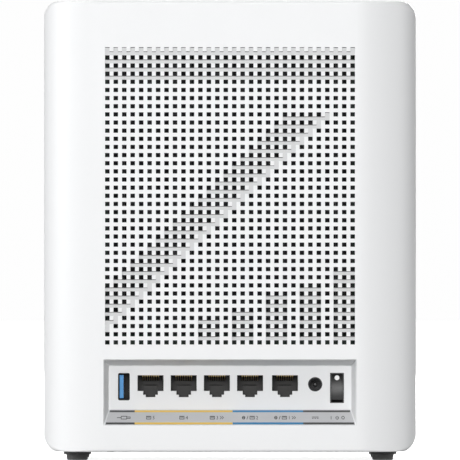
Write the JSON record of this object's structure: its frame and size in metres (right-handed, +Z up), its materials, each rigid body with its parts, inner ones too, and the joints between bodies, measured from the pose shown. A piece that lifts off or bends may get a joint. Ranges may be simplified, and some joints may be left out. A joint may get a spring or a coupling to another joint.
{
  "type": "wireless router",
  "caption": "Tall free-standing wireless router with a perforated rear grille and a recessed bay of network, serial and power ports with a rocker switch.",
  "frame": {"origin": "middle of the footprint, on the surface that the feet rest on", "axes": "+Z up; -Y towards the ports (the rear); +Y towards the status light (the front); +X to the right as seen from behind the ports"},
  "size_m": [0.171, 0.104, 0.2105],
  "materials": {
    "white_plastic": "fine satin moulded plastic",
    "label_grey": "printed label film",
    "black_plastic": "matt moulded plastic",
    "gloss_black": "polished moulded plastic",
    "blue_plastic": "moulded plastic",
    "black_metal": "black plated sheet",
    "steel": "plain sheet steel",
    "contact_gold": "gold flash",
    "black_aluminium": "black anodised",
    "bare_aluminium": "extruded",
    "circuit_board": "solder mask",
    "chip_black": "moulded epoxy",
    "thermal_pad": "soft silicone",
    "foot_rubber": "matt rubber",
    "clear_plastic": "frosted clear plastic",
    "screw_steel": "zinc plated"
  },
  "bodies": {
    "router": {"rear_cover": "white_plastic", "front_cover": "white_plastic", "base_plate": "white_plastic", "vent_grille": "white_plastic", "port_bay": "white_plastic", "port_label": "label_grey", "inlet_body": "black_plastic", "switch_housing": "black_plastic", "inner_frame": "black_plastic", "wps_switch": "black_plastic", "reset_switch": "black_plastic", "ethernet_jack_1": "black_plastic", "ethernet_jack_2": "black_plastic", "ethernet_jack_3": "black_plastic", "ethernet_jack_4": "black_plastic", "ethernet_jack_5": "black_plastic", "foot_holder_1": "black_plastic", "foot_holder_2": "black_plastic", "foot_holder_3": "black_plastic", "foot_holder_4": "black_plastic", "network_transformers": "black_plastic", "usb_tongue": "blue_plastic", "usb_shell": "black_metal", "jack_shield": "steel", "inlet_pin": "steel", "inlet_terminals": "steel", "switch_terminals": "steel", "radio_can": "steel", "usb_contacts": "contact_gold", "jack_contacts_1": "contact_gold", "jack_contacts_2": "contact_gold", "jack_contacts_3": "contact_gold", "jack_contacts_4": "contact_gold", "jack_contacts_5": "contact_gold", "rear_heatsink": "black_aluminium", "front_heatsink": "bare_aluminium", "main_board": "circuit_board", "light_board": "circuit_board", "button_board": "circuit_board", "antenna_1": "circuit_board", "antenna_2": "circuit_board", "antenna_3": "circuit_board", "antenna_4": "circuit_board", "antenna_5": "circuit_board", "network_chip": "chip_black", "processor_chip": "chip_black", "memory_chips": "chip_black", "thermal_pads": "thermal_pad", "foot_pad_1": "foot_rubber", "foot_pad_2": "foot_rubber", "foot_pad_3": "foot_rubber", "foot_pad_4": "foot_rubber", "light_pipe": "clear_plastic", "status_leds": "clear_plastic", "board_screws": "screw_steel", "cover_screws": "screw_steel", "base_screws": "screw_steel"},
    "power_rocker": {"power_rocker": "gloss_black"},
    "wps_button": {"wps_button": "black_plastic"},
    "reset_button": {"reset_button": "black_plastic"}
  },
  "joints": [
    {"name": "power_switch", "type": "hinge", "parent": "router", "child": "power_rocker", "pos_m": [0.049, -0.0384, 0.03342], "axis": [1, 0, 0], "range_deg": [0, 16]},
    {"name": "wps_press", "type": "slide", "parent": "router", "child": "wps_button", "axis": [0, 0, 1], "range_m": [0, 0.0008], "stiffness_N_per_m": 300},
    {"name": "reset_press", "type": "slide", "parent": "router", "child": "reset_button", "axis": [0, 0, 1], "range_m": [0, 0.0005], "stiffness_N_per_m": 300}
  ]
}
